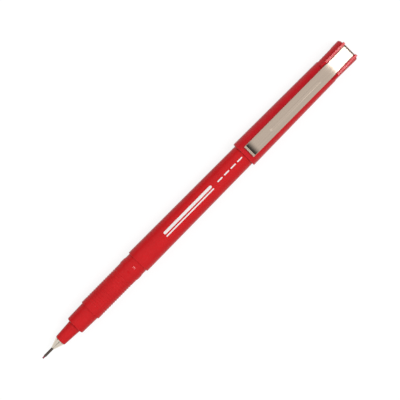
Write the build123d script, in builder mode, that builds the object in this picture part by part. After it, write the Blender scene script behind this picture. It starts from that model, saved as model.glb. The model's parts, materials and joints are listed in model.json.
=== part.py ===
from build123d import *
from math import cos, radians, sin, tan
import os

# Fineliner pen lying along X with its cap posted on the tail: writing tip at -X, crown at +X,
# clip straight up. The origin is under the middle of the pen, level with the cap mouth's lowest point.
# Millimetres.

# Clearances
press_gap = 0.02
cap_clearance = 0.05
air_gap = 0.18
feed_gap = 0.10
post_gap = 0.20
stage_gap = 0.25
seal_clearance = 0.05
tip_clearance = 0.60
reservoir_play = 0.40

# Writing point, from the tip backwards
core_reach = 1.0
core_radius = 0.30
core_round = 0.18
tube_reach = 3.9
tube_wall = 0.15
tube_round = 0.06
cone_reach = 3.55
cone_tip_wall = 0.10
cone_base_radius = 1.78
cone_rim = 0.25
cone_lip = 0.28
cone_shank_length = 5.5
feed_radius = 0.75
feed_depth = 9.0

# Grip section: nose, seal stage, ringed grip, snap bead and neck, then the spigot in the barrel
nose_length = 7.2
nose_lip = 0.27
nose_draft = 0.47
nose_round = 0.45
seal_length = 7.5
seal_draft = 0.19
seal_round = 0.50
grip_length = 18.45
grip_step = 0.36
grip_round = 0.20
ring_lead = 2.6
ring_tail = 1.6
ring_pitch = 0.956
ring_depth = 0.12
ring_cutter = 0.35
bead_length = 3.15
bead_rise = 0.18
bead_flank = 0.77
bead_round = 1.0
neck_length = 1.85
spigot_length = 9.0
cup_depth = 11.0

# Ink reservoir and its film
reservoir_radius = 3.0
film_wall = 0.15

# Barrel and tail plug
barrel_length = 81.2
tail_wall = 0.70
tail_draft = 0.18
waist_lead = 2.7
shoulder_draft = 0.30
shoulder_round = 0.25
shoulder_step = 0.46
socket_wall = 0.76
plug_head = 1.5
plug_step = 0.10
plug_round = 0.50
plug_spigot = 7.5
plug_wall = 0.90

# Cap shell, with the crown's lengths taken from the cap's closed end
mouth_wall = 0.765
mouth_round = 0.25
crown_depth = 4.8
crown_length = 11.2
crown_step = 0.80
crown_wall = 0.62
crown_drop = 0.17
crown_flare = 0.18
crown_round = 0.80
crown_land = 0.50
rib_lead = 0.10
rib_zone = 5.5
rib_pitch = 1.34
rib_depth = 0.22
rib_cutter = 0.86
rib_lift = 8.0

# Inner cap that seals on the nose
liner_step = 0.14
liner_flange = 1.2
liner_wall = 0.60

# Clip strip and the two rails beside it
clip_width = 4.75
clip_thickness = 0.40
clip_stand = 0.97
clip_edge = 0.12
clip_side_gap = 0.175
root_inset = 0.10
clip_end_gap = 0.15
clip_seat_gap = 0.05
knee_gap = 0.02
ramp_angle = 8.0
bend_radius = 0.35
leg_length = 6.0
rail_length = 9.35
rail_width = 0.80
rail_proud = 0.10
rail_round = 0.10
rail_overhang = 0.25
saddle_lead = 2.2
lip_setback = 1.86
lip_length = 0.75
lip_rise = 0.55
dip_length = 3.6
dip_gap = 0.10

# Lengths that follow: the cap closes over the point, and its inner cap also stops the tail
stage_length = seal_length + grip_length + bead_length + neck_length
front_length = core_reach + tube_reach + cone_reach + nose_length + stage_length
cap_length = front_length + crown_depth
posted_depth = stage_length + stage_gap - post_gap
overall_length = front_length + barrel_length + plug_head - posted_depth + cap_length

# Stations along the pen
core_x = -overall_length / 2
tube_x = core_x + core_reach
cone_x = tube_x + tube_reach
nose_x = cone_x + cone_reach
cone_end_x = nose_x + cone_shank_length
seal_x = nose_x + nose_length
grip_x = seal_x + seal_length
bead_x = grip_x + grip_length
neck_x = bead_x + bead_length
barrel_x = neck_x + neck_length
spigot_end_x = barrel_x + spigot_length
cup_x = spigot_end_x - cup_depth
plug_x = barrel_x + barrel_length
tail_x = plug_x + plug_head
plug_front_x = plug_x - plug_spigot
reservoir_end_x = plug_front_x - reservoir_play
mouth_x = tail_x - posted_depth
waist_x = mouth_x - waist_lead
liner_x = tail_x + post_gap
liner_nose_x = liner_x + nose_length
well_end_x = mouth_x + front_length + tip_clearance
liner_end_x = well_end_x + liner_wall
cap_end_x = mouth_x + cap_length
taper_end_x = cap_end_x - crown_length
crown_x = taper_end_x + crown_step
crown_end_x = cap_end_x - rail_overhang
knee_x = cap_end_x - rail_length
saddle_x = knee_x - saddle_lead
crown_core_x = saddle_x - crown_land
lip_x = mouth_x + lip_setback
dip_x = lip_x + lip_length
arm_turn_x = dip_x + dip_length

# Radii of the writing point, from the core outwards
tube_bore = core_radius + press_gap
tube_radius = tube_bore + tube_wall
cone_bore = tube_radius + press_gap
cone_tip_radius = cone_bore + cone_tip_wall
cone_shank_radius = cone_base_radius - cone_lip
shank_bore = cone_shank_radius + press_gap
nose_front_radius = cone_base_radius + nose_lip
nose_rear_radius = nose_front_radius + nose_draft
feed_bore = feed_radius + feed_gap

# Radii of the barrel, from the reservoir outwards, and of the section that it carries
film_bore = reservoir_radius + press_gap
film_radius = film_bore + film_wall
cup_bore = film_radius + press_gap
barrel_bore = film_radius + air_gap
plug_radius = barrel_bore - press_gap
tail_radius = barrel_bore + tail_wall
waist_radius = tail_radius + tail_draft
shoulder_radius = waist_radius + shoulder_draft
socket_bore = shoulder_radius - socket_wall
spigot_radius = socket_bore - press_gap
grip_radius = shoulder_radius - shoulder_step
bead_radius = grip_radius + bead_rise
seal_rear_radius = grip_radius - grip_step
seal_front_radius = seal_rear_radius - seal_draft

# Radii of the cap, whose bore follows the barrel's tail
tail_slope = tail_draft / (plug_x - waist_x)
post_mouth_bore = waist_radius - tail_slope * waist_lead + cap_clearance
post_end_bore = tail_radius - tail_slope * (liner_x - plug_x) + cap_clearance
cap_mouth_radius = post_mouth_bore + mouth_wall
liner_radius = post_end_bore - liner_step
liner_seat_bore = liner_radius + press_gap
liner_mouth_bore = nose_rear_radius + seal_clearance
liner_nose_bore = nose_front_radius + seal_clearance
liner_tube_radius = liner_mouth_bore + liner_wall
well_radius = liner_nose_bore + liner_wall
well_bore = well_radius + press_gap
taper_end_radius = liner_seat_bore + crown_wall
crown_radius = taper_end_radius - crown_drop
crown_end_radius = crown_radius + crown_flare
clip_height = cap_mouth_radius + clip_stand
dip_height = cap_mouth_radius + dip_gap + clip_thickness

# Rings on the grip and ribs under the crown, as many as their zones take
ring_count = int((grip_length - ring_lead - ring_tail) / ring_pitch) + 1
rib_count = int(rib_zone / rib_pitch) + 1

# The pen's axis lies one cap-mouth radius above the table
axis_z = cap_mouth_radius
pen_axis = Axis((0, 0, axis_z), (1, 0, 0))
side_plane = Plane(origin=(0, 0, axis_z), x_dir=(1, 0, 0), z_dir=(0, -1, 0))

# The ribs' outline is drawn on the crown's side, a little above the middle
lift = radians(rib_lift)
rib_plane = Plane(origin=(0, 0, axis_z), x_dir=(1, 0, 0), z_dir=(0, -sin(lift), cos(lift)))

# The clip's ramp over the crown, in its own plane: u runs down the ramp and v stands out of it
ramp = radians(ramp_angle)
ramp_plane = Plane(
    origin=(knee_x, 0, axis_z + clip_height), x_dir=(cos(ramp), 0, -sin(ramp)), z_dir=(0, -1, 0)
)
bend_outer = bend_radius + clip_thickness
ramp_length = (rail_length - clip_end_gap - bend_outer * (1 - sin(ramp))) / cos(ramp)
mitre = clip_thickness * tan(ramp / 2)
leg_v = -2 * bend_outer
root_half = clip_width / 2 - root_inset
channel_half = clip_width / 2 + clip_side_gap
saddle_half = channel_half + rail_width

os.makedirs("parts", exist_ok=True)

# Writing core: thin in the steel tube, thicker where it feeds from the reservoir
with BuildPart() as nib_core:
    with BuildSketch(side_plane):
        with BuildLine():
            FilletPolyline(
                (core_x, 0),
                (core_x, core_radius),
                (cone_end_x + feed_gap, core_radius),
                (cone_end_x + feed_gap + feed_radius, feed_radius),
                (cup_x + feed_depth, feed_radius),
                (cup_x + feed_depth, 0),
                radius=[0, core_round, 0, 0, 0, 0],
                close=True,
            )
        make_face()
    revolve(axis=pen_axis)
nib_core.part.label = "nib_core"
export_step(nib_core.part, "parts/nib_core.step")

# Steel tube round the core, pressed through the cone
with BuildPart() as nib_tube:
    with BuildSketch(side_plane):
        with BuildLine():
            FilletPolyline(
                (tube_x, tube_bore),
                (tube_x, tube_radius),
                (cone_end_x, tube_radius),
                (cone_end_x, tube_bore),
                radius=[0, tube_round, 0, 0],
                close=True,
            )
        make_face()
    revolve(axis=pen_axis)
nib_tube.part.label = "nib_tube"
export_step(nib_tube.part, "parts/nib_tube.step")

# Metal cone, with a rim on the nose and a shank pressed into it
with BuildPart() as nib_cone:
    with BuildSketch(side_plane):
        with BuildLine():
            Polyline(
                (cone_x, cone_bore),
                (cone_x, cone_tip_radius),
                (nose_x - cone_rim, cone_base_radius),
                (nose_x, cone_base_radius),
                (nose_x, cone_shank_radius),
                (cone_end_x, cone_shank_radius),
                (cone_end_x, cone_bore),
                close=True,
            )
        make_face()
    revolve(axis=pen_axis)
nib_cone.part.label = "nib_cone"
export_step(nib_cone.part, "parts/nib_cone.step")

# Grip section: stepped outside, with a bore for the shank, the core and the reservoir's front end
with BuildPart() as grip_section:
    with BuildSketch(side_plane):
        with BuildLine():
            FilletPolyline(
                (nose_x, shank_bore),
                (nose_x, nose_front_radius),
                (seal_x, nose_rear_radius),
                (seal_x, seal_front_radius),
                (grip_x, seal_rear_radius),
                (grip_x, grip_radius),
                (bead_x, grip_radius),
                (bead_x + bead_flank, bead_radius),
                (neck_x - bead_flank, bead_radius),
                (neck_x, grip_radius),
                (barrel_x, grip_radius),
                radius=[nose_round, 0, seal_round, 0, grip_round] + 4 * [bead_round],
            )
            Polyline(
                (barrel_x, grip_radius),
                (barrel_x, spigot_radius),
                (spigot_end_x, spigot_radius),
                (spigot_end_x, cup_bore),
                (cup_x, cup_bore),
                (cup_x, feed_bore),
                (cone_end_x, feed_bore),
                (cone_end_x, shank_bore),
                (nose_x, shank_bore),
            )
        make_face()
    revolve(axis=pen_axis)
    with BuildSketch(side_plane):
        ring_spots = [
            (grip_x + ring_lead + i * ring_pitch, grip_radius - ring_depth + ring_cutter)
            for i in range(ring_count)
        ]
        with Locations(*ring_spots):
            Circle(ring_cutter)
    revolve(axis=pen_axis, mode=Mode.SUBTRACT)
grip_section.part.label = "grip_section"
export_step(grip_section.part, "parts/grip_section.step")

# Fibre rod that holds the ink, bored for the core
with BuildPart() as ink_reservoir:
    with BuildSketch(side_plane):
        with BuildLine():
            Polyline(
                (cup_x, feed_bore),
                (cup_x, reservoir_radius),
                (reservoir_end_x, reservoir_radius),
                (reservoir_end_x, 0),
                (cup_x + feed_depth + feed_gap, 0),
                (cup_x + feed_depth + feed_gap, feed_bore),
                close=True,
            )
        make_face()
    revolve(axis=pen_axis)
ink_reservoir.part.label = "ink_reservoir"
export_step(ink_reservoir.part, "parts/ink_reservoir.step")

# Film round the fibre rod
with BuildPart() as reservoir_sleeve:
    with BuildSketch(side_plane):
        with BuildLine():
            Polyline(
                (cup_x, film_bore),
                (cup_x, film_radius),
                (reservoir_end_x, film_radius),
                (reservoir_end_x, film_bore),
                close=True,
            )
        make_face()
    revolve(axis=pen_axis)
reservoir_sleeve.part.label = "reservoir_sleeve"
export_step(reservoir_sleeve.part, "parts/reservoir_sleeve.step")

# Barrel: hollow, with a curved taper to the waist and a straight taper under the cap
with BuildPart() as barrel:
    with BuildSketch(side_plane):
        with BuildLine():
            TangentArc(
                (waist_x, waist_radius),
                (barrel_x + shoulder_round, shoulder_radius),
                tangent=(waist_x - plug_x, waist_radius - tail_radius),
            )
            CenterArc((barrel_x + shoulder_round, shoulder_radius - shoulder_round), shoulder_round, 90, 90)
            Polyline(
                (barrel_x, shoulder_radius - shoulder_round),
                (barrel_x, socket_bore),
                (spigot_end_x, socket_bore),
                (spigot_end_x, barrel_bore),
                (plug_x, barrel_bore),
                (plug_x, tail_radius),
                (waist_x, waist_radius),
            )
        make_face()
    revolve(axis=pen_axis)
barrel.part.label = "barrel"
export_step(barrel.part, "parts/barrel.step")

# Hollow plug in the barrel's tail
with BuildPart() as tail_plug:
    with BuildSketch(side_plane):
        with BuildLine():
            FilletPolyline(
                (plug_front_x, plug_radius - plug_wall),
                (plug_front_x, plug_radius),
                (plug_x, plug_radius),
                (plug_x, tail_radius - plug_step),
                (tail_x, tail_radius - plug_step),
                (tail_x, 0),
                (plug_x, 0),
                (plug_x, plug_radius - plug_wall),
                radius=[0, 0, 0, 0, plug_round, 0, 0, 0],
                close=True,
            )
        make_face()
    revolve(axis=pen_axis)
tail_plug.part.label = "tail_plug"
export_step(tail_plug.part, "parts/tail_plug.step")

# Cap shell: tapered tube with a stepped crown, a saddle for the clip and ribs under the crown
with BuildPart() as cap_shell:
    with BuildSketch(side_plane):
        with BuildLine():
            FilletPolyline(
                (mouth_x, post_mouth_bore),
                (mouth_x, cap_mouth_radius),
                (taper_end_x, taper_end_radius),
                (crown_x, crown_radius),
                (crown_end_x, crown_end_radius),
                (crown_end_x, 0),
                (liner_end_x, 0),
                (liner_end_x, well_bore),
                (crown_core_x, well_bore),
                (crown_core_x, liner_seat_bore),
                (liner_x, liner_seat_bore),
                (liner_x, post_end_bore),
                radius=[0, mouth_round, 0, 0, crown_round, 0, 0, 0, 0, 0, 0, 0],
                close=True,
            )
        make_face()
    revolve(axis=pen_axis)
    with BuildSketch(side_plane):
        with BuildLine():
            Polyline(
                (saddle_x, well_bore),
                (saddle_x, crown_radius),
                (knee_x, clip_height + rail_proud),
                (cap_end_x, clip_height + rail_proud - rail_length * tan(ramp)),
                (crown_end_x, well_bore),
                close=True,
            )
        make_face()
    extrude(amount=saddle_half, both=True)
    with BuildSketch(ramp_plane):
        with BuildLine():
            Polyline(
                (0, -clip_thickness - clip_seat_gap),
                (ramp_length, -clip_thickness - clip_seat_gap),
                (ramp_length, leg_v + clip_thickness + clip_seat_gap),
                (ramp_length - leg_length - clip_seat_gap, leg_v + clip_thickness + clip_seat_gap),
                (ramp_length - leg_length - clip_seat_gap, leg_v - clip_seat_gap),
                (ramp_length + rail_length, leg_v - clip_seat_gap),
                (ramp_length + rail_length, clip_height),
                (0, clip_height),
                close=True,
            )
        make_face()
    extrude(amount=channel_half, both=True, mode=Mode.SUBTRACT)
    with BuildSketch(side_plane):
        with BuildLine():
            Polyline(
                (saddle_x, taper_end_radius),
                (knee_x, taper_end_radius),
                (knee_x, 2 * clip_height),
                (saddle_x, 2 * clip_height),
                close=True,
            )
        make_face()
    extrude(amount=channel_half, both=True, mode=Mode.SUBTRACT)
    with BuildSketch(rib_plane):
        rib_spots = [
            (crown_x + rib_lead + i * rib_pitch, crown_radius - rib_depth + rib_cutter)
            for i in range(rib_count)
        ]
        with Locations(*rib_spots):
            Circle(rib_cutter)
    revolve(axis=pen_axis, revolution_arc=-180 - 2 * rib_lift, mode=Mode.SUBTRACT)
    ramp_edges = cap_shell.edges().filter_by(Axis((0, 0, 0), ramp_plane.x_dir))
    fillet(ramp_edges.group_by(Axis((0, 0, 0), ramp_plane.y_dir))[-1], radius=rail_round)
cap_shell.part.label = "cap_shell"
export_step(cap_shell.part, "parts/cap_shell.step")

# Inner cap: a flange pressed into the shell and a thin cup that closes over the nose and point
with BuildPart() as inner_cap:
    with BuildSketch(side_plane):
        with BuildLine():
            Polyline(
                (liner_x, liner_mouth_bore),
                (liner_x, liner_radius),
                (liner_x + liner_flange, liner_radius),
                (liner_x + liner_flange, liner_tube_radius),
                (liner_nose_x, well_radius),
                (liner_end_x, well_radius),
                (liner_end_x, 0),
                (well_end_x, 0),
                (well_end_x, liner_nose_bore),
                (liner_nose_x, liner_nose_bore),
                close=True,
            )
        make_face()
    revolve(axis=pen_axis)
inner_cap.part.label = "inner_cap"
export_step(inner_cap.part, "parts/inner_cap.step")

# Root of the clip: narrower than the arm, down the ramp, round the crown's end and back under the tongue
with BuildPart() as clip_root:
    with BuildSketch(ramp_plane):
        with BuildLine():
            Line((0, 0), (ramp_length, 0))
            ThreePointArc((ramp_length, 0), (ramp_length + bend_outer, -bend_outer), (ramp_length, leg_v))
            Polyline(
                (ramp_length, leg_v),
                (ramp_length - leg_length, leg_v),
                (ramp_length - leg_length, leg_v + clip_thickness),
                (ramp_length, leg_v + clip_thickness),
            )
            ThreePointArc(
                (ramp_length, leg_v + clip_thickness),
                (ramp_length + bend_radius, -bend_outer),
                (ramp_length, -clip_thickness),
            )
            Polyline((ramp_length, -clip_thickness), (mitre, -clip_thickness), (0, 0))
        make_face()
    extrude(amount=root_half, both=True)
    fillet(clip_root.edges().group_by(Axis.Y)[0] + clip_root.edges().group_by(Axis.Y)[-1], radius=clip_edge)
clip_root.part.label = "clip_root"
export_step(clip_root.part, "parts/clip_root.step")

# Arm of the clip: straight, then curved down to the dip over the cap, with a lip that turns up
with BuildPart() as clip_arm:
    with BuildSketch(side_plane):
        with BuildLine():
            TangentArc((arm_turn_x, clip_height), (dip_x, dip_height), tangent=(-1, 0))
            Polyline(
                (dip_x, dip_height),
                (lip_x, dip_height + lip_rise),
                (lip_x, dip_height + lip_rise - clip_thickness),
                (dip_x, dip_height - clip_thickness),
            )
            TangentArc(
                (arm_turn_x, clip_height - clip_thickness),
                (dip_x, dip_height - clip_thickness),
                tangent=(-1, 0),
            )
            Polyline(
                (arm_turn_x, clip_height - clip_thickness),
                (knee_x - knee_gap - mitre, clip_height - clip_thickness),
                (knee_x - knee_gap, clip_height),
                (arm_turn_x, clip_height),
            )
        make_face()
    extrude(amount=clip_width / 2, both=True)
    fillet(clip_arm.edges().group_by(Axis.Y)[0] + clip_arm.edges().group_by(Axis.Y)[-1], radius=clip_edge)
clip_arm.part.label = "clip_arm"
export_step(clip_arm.part, "parts/clip_arm.step")
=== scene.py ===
import json
import math

import bmesh
import bpy
from mathutils import Matrix, Vector


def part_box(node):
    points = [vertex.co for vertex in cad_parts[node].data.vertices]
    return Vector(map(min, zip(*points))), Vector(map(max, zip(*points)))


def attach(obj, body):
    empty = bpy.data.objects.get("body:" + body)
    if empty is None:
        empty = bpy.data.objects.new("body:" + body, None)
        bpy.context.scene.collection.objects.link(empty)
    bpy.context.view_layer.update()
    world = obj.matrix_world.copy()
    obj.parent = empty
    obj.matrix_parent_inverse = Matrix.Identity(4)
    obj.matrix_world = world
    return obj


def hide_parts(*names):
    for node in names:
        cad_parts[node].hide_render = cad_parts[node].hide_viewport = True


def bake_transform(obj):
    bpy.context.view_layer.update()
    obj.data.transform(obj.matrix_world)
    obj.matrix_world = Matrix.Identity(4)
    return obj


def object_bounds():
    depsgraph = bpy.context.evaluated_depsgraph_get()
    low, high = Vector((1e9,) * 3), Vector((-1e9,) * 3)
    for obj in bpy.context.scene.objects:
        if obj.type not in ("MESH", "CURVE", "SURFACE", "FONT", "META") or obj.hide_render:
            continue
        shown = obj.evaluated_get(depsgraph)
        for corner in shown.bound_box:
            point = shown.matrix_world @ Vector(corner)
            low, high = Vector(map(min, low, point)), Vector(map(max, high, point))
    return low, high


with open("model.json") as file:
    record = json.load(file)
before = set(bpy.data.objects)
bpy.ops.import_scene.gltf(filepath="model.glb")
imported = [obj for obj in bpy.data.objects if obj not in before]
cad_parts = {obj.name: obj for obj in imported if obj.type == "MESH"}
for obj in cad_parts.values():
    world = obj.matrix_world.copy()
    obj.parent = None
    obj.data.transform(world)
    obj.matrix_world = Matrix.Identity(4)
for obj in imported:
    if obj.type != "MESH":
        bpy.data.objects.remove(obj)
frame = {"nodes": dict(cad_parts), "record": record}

cad_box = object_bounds()
nodes = frame["nodes"]
mm = 0.001


def named(rows, name):
    """The row with this name in one of the record's lists."""
    return next(row for row in rows if row["name"] == name)


grip_mount = named(frame["record"]["mounts"], "grip_collar")
clip_hinge = named(frame["record"]["behaviour"]["joints"], "clip_flex")
axis_z = grip_mount["pos_m"][2]


def facing(x_way, y_way, z_way):
    """The turn that points an object's own axes in three directions."""
    return Matrix((x_way, y_way, z_way)).transposed().to_4x4()


# Camera: almost above the pen, a little to its +Y side, turned so that the pen runs up to the right
roll = math.radians(6.26)
slant = math.radians(45.35)
camera_distance = 0.7644
aim_along = 1.89 * mm
aim_across = 0.226 * mm
along = Vector((1, 0, 0))
toward_camera = Vector((0, math.sin(roll), math.cos(roll)))
across = Vector((0, -math.cos(roll), math.sin(roll)))
aim = Vector((aim_along, 0, axis_z)) + aim_across * across
camera_data = bpy.data.cameras.new("camera")
camera_data.lens = 200
camera_data.sensor_width = 36
camera_data.clip_start = 0.01
camera_data.clip_end = 50
camera = bpy.data.objects.new("camera", camera_data)
bpy.context.scene.collection.objects.link(camera)
right = math.cos(slant) * along + math.sin(slant) * across
up = math.sin(slant) * along - math.cos(slant) * across
camera_place = aim + camera_distance * toward_camera
camera.matrix_world = Matrix.Translation(camera_place) @ facing(right, up, toward_camera)
bpy.context.scene.camera = camera
bpy.context.scene.view_settings.view_transform = "Standard"


# Shader nodes
noise_low = 0.3
noise_high = 0.7


def new_material(name):
    material = bpy.data.materials.new(name)
    material.use_nodes = True
    return material, material.node_tree, material.node_tree.nodes["Principled BSDF"]


def attribute(tree, name, output):
    """A value that a mesh keeps at its points."""
    node = tree.nodes.new("ShaderNodeAttribute")
    node.attribute_name = name
    return node.outputs[output]


def own_place(tree):
    """Where a point is in its piece's own metres."""
    return tree.nodes.new("ShaderNodeTexCoord").outputs["Object"]


def rest_place(tree):
    """Where a point of the clip is at rest, kept in its mesh because the clip bends."""
    return attribute(tree, "rest_place", "Vector")


def along_pen(tree, place):
    """How far along the pen a place is, in metres."""
    split = tree.nodes.new("ShaderNodeSeparateXYZ")
    tree.links.new(place, split.inputs["Vector"])
    return split.outputs["X"]


def maths(tree, operation, *values):
    node = tree.nodes.new("ShaderNodeMath")
    node.operation = operation
    for socket, value in zip(node.inputs, values):
        if isinstance(value, (int, float)):
            socket.default_value = value
        else:
            tree.links.new(value, socket)
    return node.outputs["Value"]


def noise(tree, place, scale, stretch=(1, 1, 1), detail=2.0):
    """Noise over a place in metres; stretch multiplies the scale along X, Y and Z."""
    mapping = tree.nodes.new("ShaderNodeMapping")
    mapping.inputs["Scale"].default_value = stretch
    texture = tree.nodes.new("ShaderNodeTexNoise")
    texture.inputs["Scale"].default_value = scale
    texture.inputs["Detail"].default_value = detail
    tree.links.new(place, mapping.inputs["Vector"])
    tree.links.new(mapping.outputs["Vector"], texture.inputs["Vector"])
    return texture.outputs["Fac"]


def spread(tree, value, low, high):
    """The middle of a noise's range mapped to low...high."""
    node = tree.nodes.new("ShaderNodeMapRange")
    node.inputs["From Min"].default_value = noise_low
    node.inputs["From Max"].default_value = noise_high
    node.inputs["To Min"].default_value = low
    node.inputs["To Max"].default_value = high
    tree.links.new(value, node.inputs["Value"])
    return node.outputs["Result"]


def smooth_step(tree, value, start, end):
    """0 before start and 1 after end, with a smooth rise between them."""
    node = tree.nodes.new("ShaderNodeMapRange")
    node.interpolation_type = "SMOOTHSTEP"
    node.inputs["From Min"].default_value = start
    node.inputs["From Max"].default_value = end
    tree.links.new(value, node.inputs["Value"])
    return node.outputs["Result"]


def between(tree, share, first, second):
    """A mix of two colours, each a list of numbers or another node's output."""
    node = tree.nodes.new("ShaderNodeMix")
    node.data_type = "RGBA"
    tree.links.new(share, node.inputs["Factor"])
    for name, colour in (("A", first), ("B", second)):
        if isinstance(colour, list):
            node.inputs[name].default_value = colour
        else:
            tree.links.new(colour, node.inputs[name])
    return node.outputs["Result"]


def scaled(colour, factor):
    return [value * factor for value in colour] + [1.0]


def bump(tree, height, depth):
    node = tree.nodes.new("ShaderNodeBump")
    node.inputs["Distance"].default_value = depth
    tree.links.new(height, node.inputs["Height"])
    return node.outputs["Normal"]


# Materials
tone_swing = {"plastic": 0.04, "metal": 0.05}
gloss_swing = 0.2
cloud_scale = 220
haze_scale = 900
haze_stretch = (0.4, 1, 1)
grain_scale = 3500
grain_depth = 0.001 * mm


def uneven_tone(tree, share, colour, swing):
    return between(tree, share, scaled(colour, 1 - swing), scaled(colour, 1 + swing))


def uneven_gloss(tree, pattern, rough):
    return spread(tree, pattern, (1 - gloss_swing) * rough, (1 + gloss_swing) * rough)


def duller(tree, place, gloss, stretches):
    """A gloss that is rougher over some stretches of the pen.

    A stretch says how much rougher it is, where that starts and is full, and where it fades and ends.
    """
    for stretch in stretches:
        x = along_pen(tree, place)
        rise = smooth_step(tree, x, stretch["start"], stretch["full"])
        fall = smooth_step(tree, x, stretch["end"], stretch["fade"])
        share = maths(tree, "MULTIPLY", rise, fall)
        gloss = maths(tree, "MULTIPLY_ADD", share, stretch["more"], gloss)
    return gloss


def plastic(name, colour, rough, specular, matt=()):
    """Moulded plastic: faint cloudy colour, fine grain and a soft uneven gloss, duller where matt says."""
    material, tree, shader = new_material(name)
    place = own_place(tree)
    cloud = spread(tree, noise(tree, place, cloud_scale, detail=3), 0, 1)
    tone = uneven_tone(tree, cloud, colour, tone_swing["plastic"])
    gloss = uneven_gloss(tree, noise(tree, place, haze_scale, haze_stretch), rough)
    grain = noise(tree, place, grain_scale)
    tree.links.new(tone, shader.inputs["Base Color"])
    tree.links.new(duller(tree, place, gloss, matt), shader.inputs["Roughness"])
    tree.links.new(bump(tree, grain, grain_depth), shader.inputs["Normal"])
    shader.inputs["Specular IOR Level"].default_value = specular
    return material


def metal(name, colour, rough, scale, stretch, depth, placed=own_place, matt=(), dark=None, worn=None):
    """Drawn or turned metal: lines in one direction in colour, gloss and surface, duller where matt says.

    dark gives painted shade at one end: its share of the colour, where the painted shade starts and where
    it is full.
    worn names what the mesh keeps at its points of how much rougher they are.
    """
    material, tree, shader = new_material(name)
    place = placed(tree)
    lines = noise(tree, place, scale, stretch, detail=3)
    tone = uneven_tone(tree, spread(tree, lines, 0, 1), colour, tone_swing["metal"])
    # Painted shade: the colour darkens towards the end that dark gives.
    if dark:
        end = smooth_step(tree, along_pen(tree, place), dark["start"], dark["full"])
        tone = between(tree, end, tone, scaled(colour, dark["share"]))
    gloss = duller(tree, place, uneven_gloss(tree, lines, rough), matt)
    if worn:
        gloss = maths(tree, "ADD", gloss, attribute(tree, worn, "Fac"))
    tree.links.new(tone, shader.inputs["Base Color"])
    tree.links.new(gloss, shader.inputs["Roughness"])
    tree.links.new(bump(tree, lines, depth), shader.inputs["Normal"])
    shader.inputs["Metallic"].default_value = 1.0
    return material


# Stretches of the pen with a finish of their own: the grip's rings, and the clip's lip, knee, ramp and
# fold, with painted shade at the fold
fold = 73.9 * mm
fold_fade = {"fade": fold - 0.03 * mm, "end": fold + 0.03 * mm}
dull_rings = {"more": 0.14, "start": -49.6 * mm, "full": -49.3 * mm, "fade": -35.2 * mm, "end": -34.9 * mm}
dull_lip = {"more": 0.35, "start": 20 * mm, "full": 21 * mm, "fade": 25.5 * mm, "end": 25.7 * mm}
dull_knee = {"more": 0.12, "start": 61.3 * mm, "full": 69.0 * mm, **fold_fade}
dull_ramp = {"more": 0.20, "start": 65.8 * mm, "full": 68.0 * mm, **fold_fade}
# Painted shade: the steel's colour darkens where the strip turns at the fold, standing in for the dark that
# the bend mirrors.
painted_fold_shade = {"share": 0.45, "start": fold - 0.06 * mm, "full": fold + 0.02 * mm}

red_gloss = plastic("red_plastic", [0.60, 0.0140, 0.0170], rough=0.16, specular=0.10, matt=[dull_rings])
# The cap's red is a little lighter than the barrel's: painted light that makes up for the shade the clip
# casts on the cap.
red_cap = plastic("red_cap_plastic", [0.61, 0.0145, 0.0215], rough=0.16, specular=0.10)
core_ink = plastic("ink_core", [0.25, 0.006, 0.04], rough=0.75, specular=0.2)
fibre = plastic("ink_fibre", [0.42, 0.02, 0.03], rough=0.9, specular=0.1)
film = plastic("clear_film", [0.80, 0.76, 0.73], rough=0.3, specular=0.4)
liner = plastic("liner_plastic", [0.62, 0.58, 0.53], rough=0.45, specular=0.4)
print_white = plastic("white_print", [0.86, 0.83, 0.82], rough=0.5, specular=0.3)
steel = metal(
    "clip_steel",
    [0.515, 0.422, 0.345],
    rough=0.1,
    scale=900,
    stretch=(0.03, 6, 6),
    depth=0.0006 * mm,
    placed=rest_place,
    matt=[dull_knee, dull_ramp, dull_lip],
    dark=painted_fold_shade,
    worn="dullness",
)
cone_metal = metal(
    "cone_metal", [0.72, 0.64, 0.54], rough=0.2, scale=900, stretch=(8, 0.1, 0.1), depth=0.001 * mm
)
tube_metal = metal(
    "tube_metal", [0.11, 0.085, 0.07], rough=0.2, scale=1200, stretch=(0.1, 5, 5), depth=0.0006 * mm
)

finishes = {
    "barrel": red_gloss,
    "tail_plug": red_gloss,
    "grip_section": red_gloss,
    "cap_shell": red_cap,
    "nib_cone": cone_metal,
    "nib_tube": tube_metal,
    "nib_core": core_ink,
    "ink_reservoir": fibre,
    "reservoir_sleeve": film,
    "inner_cap": liner,
}
for node_name, finish in finishes.items():
    for material_slot in nodes[node_name].material_slots:
        material_slot.material = finish


# Shapes
sharp_angle = math.radians(40)
arc_step = math.radians(5)
fewest_arc_steps = 4


def add_object(name, shape, material):
    mesh = bpy.data.meshes.new(name)
    bmesh.ops.recalc_face_normals(shape, faces=shape.faces)
    shape.to_mesh(mesh)
    shape.free()
    mesh.polygons.foreach_set("use_smooth", [True] * len(mesh.polygons))
    mesh.set_sharp_from_angle(angle=sharp_angle)
    mesh.materials.append(material)
    piece = bpy.data.objects.new(name, mesh)
    bpy.context.scene.collection.objects.link(piece)
    return piece


def rounded_path(corners, radii, step):
    """Points along a line of corners, each corner turned on an arc of its radius."""
    points = [corners[0]]
    for before, corner, after, radius in zip(corners, corners[1:], corners[2:], radii):
        to_before = (before - corner).normalized()
        to_after = (after - corner).normalized()
        half = to_before.angle(to_after) / 2
        reach = radius / math.tan(half)
        start = corner + reach * to_before
        end = corner + reach * to_after
        centre = corner + (radius / math.sin(half)) * (to_before + to_after).normalized()
        count = max(fewest_arc_steps, round((math.pi - 2 * half) / arc_step))
        for i in range(count + 1):
            blend = start.lerp(end, i / count) - centre
            points.append(centre + radius * blend.normalized())
    points.append(corners[-1])
    path = [points[0]]
    for a, b in zip(points, points[1:]):
        count = max(1, math.ceil((b - a).length / step))
        path.extend(a.lerp(b, (i + 1) / count) for i in range(count))
    return path


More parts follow.
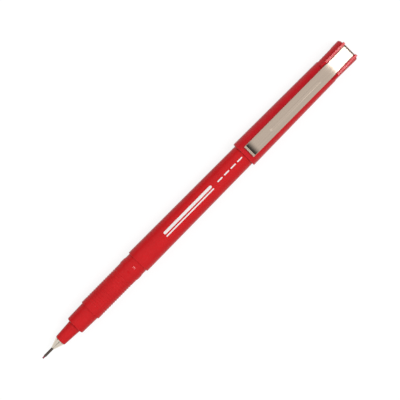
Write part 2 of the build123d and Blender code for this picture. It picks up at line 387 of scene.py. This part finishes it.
def rounded_section(half_width, half_height, radius, count):
    """Corners of a rectangle with rounded corners, as pairs of across and out.

    A point on the flat beside each end of a round keeps the shading of the flats flat.
    """
    section = []
    beside = 0.03 * mm
    for quarter, (side, top) in enumerate(((1, 1), (-1, 1), (-1, -1), (1, -1))):
        steps = [(0, -beside)] + [(i / count, 0) for i in range(count + 1)] + [(1, beside)]
        for turn, shift in steps:
            angle = math.radians(90 * (quarter + turn))
            section.append(
                (
                    side * (half_width - radius) + radius * math.cos(angle) - shift * math.sin(angle),
                    top * (half_height - radius) + radius * math.sin(angle) + shift * math.cos(angle),
                )
            )
    return section


def limited(share):
    return min(max(share, 0), 1)


def eased(share):
    share = limited(share)
    return share * share * (3 - 2 * share)


# Clip: one steel strip from the lip over the dip, along the arm, down the ramp and round under the crown
arm_low, arm_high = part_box("clip_arm")
root_low, root_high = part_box("clip_root")
arm_width = arm_high.y - arm_low.y
root_width = root_high.y - root_low.y
strip_thickness = 0.40 * mm
strip_edge = 0.12 * mm
least_edge = 0.02 * mm
edge_steps = 4
knee = Vector(clip_hinge["pos_m"])
lip = Vector((arm_low.x, 0, arm_high.z))
dip = Vector((26.06 * mm, 0, arm_low.z + strip_thickness))
arm_start = Vector((27.83 * mm, 0, knee.z))
width_change = knee.x - 0.3 * mm
ramp = math.radians(8)
ramp_length = 8.44 * mm
leg_length = 6.0 * mm
dip_radius = 0.2 * mm
arm_radius = 13.0 * mm
knee_radius = 40.0 * mm
bend_radius = 0.55 * mm
path_step = 0.8 * mm
lip_reaches = [0.02 * mm, 0.06 * mm, 0.12 * mm]
lip_insets = [0.10 * mm, 0.05 * mm, 0.015 * mm]

half_strip = Vector((0, 0, strip_thickness / 2))
ramp_along = Vector((math.cos(ramp), 0, -math.sin(ramp)))
ramp_out = Vector((math.sin(ramp), 0, math.cos(ramp)))
ramp_end = knee + ramp_length * ramp_along - strip_thickness / 2 * ramp_out
bend_top = ramp_end + bend_radius * ramp_along
bend_bottom = bend_top - 2 * bend_radius * ramp_out
clip_corners = [
    lip - half_strip,
    dip - half_strip,
    arm_start - half_strip,
    knee - half_strip,
    bend_top,
    bend_bottom,
    bend_bottom - (bend_radius + leg_length) * ramp_along,
]
clip_radii = [dip_radius, arm_radius, knee_radius, bend_radius, bend_radius]
clip_path = rounded_path(clip_corners, clip_radii, path_step)
lip_ahead = (clip_path[1] - clip_path[0]).normalized()
clip_path[1:1] = [clip_path[0] + reach * lip_ahead for reach in lip_reaches]

# Groove: stamped along the middle of the arm, deepening gently from each end, and dull along one edge
groove_start = 35.6 * mm
groove_end = 59.7 * mm
groove_run = 0.9 * mm
groove_half = 0.46 * mm
groove_wall = 0.14 * mm
groove_depth = 0.07 * mm
groove_step = 0.04 * mm
dull_edge = -0.54 * mm
dull_half = 0.32 * mm
run_dullness = 0.045
floor_dullness = 0.075
edge_dullness = 0.165


def from_ends(x):
    """How far a place along the arm is inside the groove's nearer end."""
    return min(x - groove_start, groove_end - x)


def groove_share(x, y):
    """0 outside the groove and 1 on its floor."""
    return limited(from_ends(x) / groove_run) * eased((groove_half - abs(y)) / groove_wall)


def groove_dullness(x, y):
    """How much rougher the steel is: more on the groove's floor than at its start, and most on one edge."""
    past_run = limited((x - groove_start - groove_run) / groove_run)
    on_floor = run_dullness + (floor_dullness - run_dullness) * past_run
    on_floor *= eased((groove_half - abs(y)) / groove_wall)
    on_edge = edge_dullness * eased(1 - abs(y - dull_edge) / dull_half)
    return limited(from_ends(x) / (2 * groove_step)) * max(on_floor, on_edge)


first_row = math.ceil(groove_half / groove_step)
last_row = math.floor((dull_edge - dull_half) / groove_step)
groove_places = [y * groove_step for y in range(first_row, last_row - 1, -1)]
start_steps = round(2 * groove_run / groove_step)
end_steps = math.ceil(groove_run / groove_step)
end_places = [groove_start + i * groove_step for i in range(-1, start_steps + 1)]
end_places += [groove_end - i * groove_step for i in range(end_steps, -2, -1)]
clip_path = [
    place
    for a, b in zip(clip_path, clip_path[1:] + clip_path[-1:])
    for place in [a] + [a.lerp(b, (x - a.x) / (b.x - a.x)) for x in end_places if a.x < x < b.x]
]

strip = bmesh.new()
rest_layer = strip.verts.layers.float_vector.new("rest_place")
dull_layer = strip.verts.layers.float.new("dullness")
sideways = Vector((0, 1, 0))
loops = []
for i, point in enumerate(clip_path):
    ahead = (clip_path[min(i + 1, len(clip_path) - 1)] - clip_path[max(i - 1, 0)]).normalized()
    outward = Vector((-ahead.z, 0, ahead.x))
    inset = lip_insets[i] if i < len(lip_insets) else 0
    half_width = (arm_width if point.x < width_change else root_width) / 2 - inset
    half_height = strip_thickness / 2 - inset
    section = rounded_section(half_width, half_height, max(strip_edge - inset, least_edge), edge_steps)
    top = len(section) // 4
    section[top:top] = [(y, half_height) for y in groove_places]
    loop = []
    for y, z in section:
        on_top = z == half_height
        depth = groove_depth * groove_share(point.x, y) if on_top else 0
        vert = strip.verts.new(point + y * sideways + (z - depth) * outward)
        vert[rest_layer] = vert.co
        vert[dull_layer] = groove_dullness(point.x, y) if on_top else 0
        loop.append(vert)
    loops.append(loop)
for loop, following in zip(loops, loops[1:]):
    for j in range(len(loop)):
        k = (j + 1) % len(loop)
        strip.faces.new((loop[j], loop[k], following[k], following[j]))
strip.faces.new(loops[0])
strip.faces.new(loops[-1])
clip_strip = add_object("clip_strip", strip, steel)
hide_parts("clip_root", "clip_arm")
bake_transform(clip_strip)


# Print: white lines and dashes along the barrel, as thin slabs laid on its surface
barrel = nodes["barrel"]
barrel_radius = 4.35 * mm
print_angle = math.radians(4.06)
print_lift = 0.012 * mm
print_depth = 0.03 * mm
line_start = -15.0 * mm
line_end = 8.05 * mm
thick_line = 1.0 * mm
thick_offset = -0.55 * mm
thin_line = 0.45 * mm
thin_offset = 0.70 * mm
dash_start = 10.5 * mm
dash_length = 2.4 * mm
dash_pitch = 3.2 * mm
dash_count = 4
bar_steps = 8
well_outside = 20 * mm


def print_bar(shape, start, end, offset, height):
    """A bar with round ends, from start to end along the pen, offset across it on the barrel's surface."""
    radius = height / 2
    flat = bmesh.new()
    outline = []
    for centre, first in ((end - radius, -90), (start + radius, 90)):
        for i in range(bar_steps + 1):
            angle = math.radians(first + 180 * i / bar_steps)
            corner = (centre + radius * math.cos(angle), offset + radius * math.sin(angle), 0)
            outline.append(flat.verts.new(corner))
    flat.faces.new(outline)
    for i in range(1, bar_steps):
        cut = offset - radius + height * i / bar_steps
        everything = flat.verts[:] + flat.edges[:] + flat.faces[:]
        bmesh.ops.bisect_plane(flat, geom=everything, plane_co=(0, cut, 0), plane_no=(0, 1, 0))
    raised = {}
    sunk = {}
    for vert in flat.verts:
        angle = print_angle - vert.co.y / barrel_radius
        out = Vector((0, math.sin(angle), math.cos(angle)))
        spot = barrel.ray_cast(Vector((vert.co.x, 0, axis_z)) + well_outside * out, -out)[1]
        raised[vert] = shape.verts.new(spot + print_lift * out)
        sunk[vert] = shape.verts.new(spot - print_depth * out)
    for face in flat.faces:
        shape.faces.new([raised[vert] for vert in face.verts])
        shape.faces.new([sunk[vert] for vert in reversed(face.verts)])
    for edge in flat.edges:
        if edge.is_boundary:
            a, b = edge.verts
            shape.faces.new((raised[a], raised[b], sunk[b], sunk[a]))
    flat.free()


bars = bmesh.new()
print_bar(bars, line_start, line_end, thick_offset, thick_line)
print_bar(bars, line_start, line_end, thin_offset, thin_line)
for i in range(dash_count):
    start = dash_start + i * dash_pitch
    print_bar(bars, start, start + dash_length, 0.0, thin_line)
barrel_print = add_object("barrel_print", bars, print_white)
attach(barrel_print, "pen")


# Floor: grey to the light that falls on it, and white where it is seen or mirrored
floor_size = 6
floor_grey = 0.22
floor_glow = 0.82
floor_shape = bmesh.new()
bmesh.ops.create_grid(floor_shape, x_segments=1, y_segments=1, size=floor_size)
floor_paint, floor_tree, floor_shader = new_material("floor_paint")
floor_shader.inputs["Base Color"].default_value = (floor_grey, floor_grey, floor_grey, 1)
floor_shader.inputs["Roughness"].default_value = 1.0
floor_shader.inputs["Specular IOR Level"].default_value = 0.0
floor_shader.inputs["Emission Color"].default_value = (1, 1, 1, 1)
light_path = floor_tree.nodes.new("ShaderNodeLightPath").outputs
seen = maths(floor_tree, "MAXIMUM", light_path["Is Camera Ray"], light_path["Is Glossy Ray"])
seen = maths(floor_tree, "MAXIMUM", seen, light_path["Is Transmission Ray"])
glow = maths(floor_tree, "MULTIPLY", seen, floor_glow)
floor_tree.links.new(glow, floor_shader.inputs["Emission Strength"])
floor = add_object("floor", floor_shape, floor_paint)
floor.location.z = cad_box[0].z


# World: soft grey light, dimmer to the sides, with dark flags towards tip and crown for the metal to mirror
middle_light = 0.90
left_light = 0.10
right_light = 0.65
least_light = 0.04
bright_slope = math.radians(40)
dim_slope = math.radians(70)


def flag(tree, slopes, centre, half, fade):
    """1 away from a dark flag and 0 on it.

    Its middle, half size and soft edge are in degrees along and across.
    """
    sides = []
    for slope, middle, reach, soft in zip(slopes, centre, half, fade):
        distance = maths(tree, "ABSOLUTE", maths(tree, "SUBTRACT", slope, math.radians(middle)))
        sides.append(smooth_step(tree, distance, math.radians(reach), math.radians(reach + soft)))
    return maths(tree, "MAXIMUM", *sides)


world = bpy.data.worlds.new("studio")
world.use_nodes = True
sky = world.node_tree
direction = sky.nodes.new("ShaderNodeTexCoord").outputs["Generated"]
parts = []
for way in (along, across, toward_camera):
    dot = sky.nodes.new("ShaderNodeVectorMath")
    dot.operation = "DOT_PRODUCT"
    sky.links.new(direction, dot.inputs[0])
    dot.inputs[1].default_value = way
    parts.append(dot.outputs["Value"])
slopes = (maths(sky, "ARCTAN2", parts[0], parts[2]), maths(sky, "ARCSINE", parts[1]))
tip_flag = flag(sky, slopes, centre=(-43, 8), half=(16, 6), fade=(23, 9))
crown_flag = flag(sky, slopes, centre=(43, 12), half=(15, 20), fade=(5, 15))
left_rise = smooth_step(sky, slopes[1], -dim_slope, -bright_slope)
right_rise = smooth_step(sky, slopes[1], dim_slope, bright_slope)
level = left_light + right_light - middle_light
level = maths(sky, "MULTIPLY_ADD", left_rise, middle_light - left_light, level)
level = maths(sky, "MULTIPLY_ADD", right_rise, middle_light - right_light, level)
level = maths(sky, "MULTIPLY", level, maths(sky, "MULTIPLY", tip_flag, crown_flag))
seen = sky.nodes.new("ShaderNodeLightPath").outputs["Is Camera Ray"]
level = maths(sky, "MAXIMUM", maths(sky, "ADD", level, least_light), seen)
sky.links.new(level, sky.nodes["Background"].inputs["Strength"])
sky.nodes["Background"].inputs["Color"].default_value = (1, 1, 1, 1)
bpy.context.scene.world = world


# Key lamp: a strip across the pen, high up and beyond the crown's end
key_along = 0.66
key_across = 0.40
key_height = 1.5
key_lean = 0.04
key_data = bpy.data.lights.new("key", "AREA")
key_data.shape = "RECTANGLE"
key_data.size = 0.12
key_data.size_y = 0.8
key_data.energy = 11.2
key = bpy.data.objects.new("key", key_data)
bpy.context.scene.collection.objects.link(key)
key_run = (across + key_lean * along).normalized()
key_turn = facing(key_run.cross(toward_camera), key_run, toward_camera)
key_place = aim + key_height * toward_camera + key_along * along + key_across * across
key.matrix_world = Matrix.Translation(key_place) @ key_turn
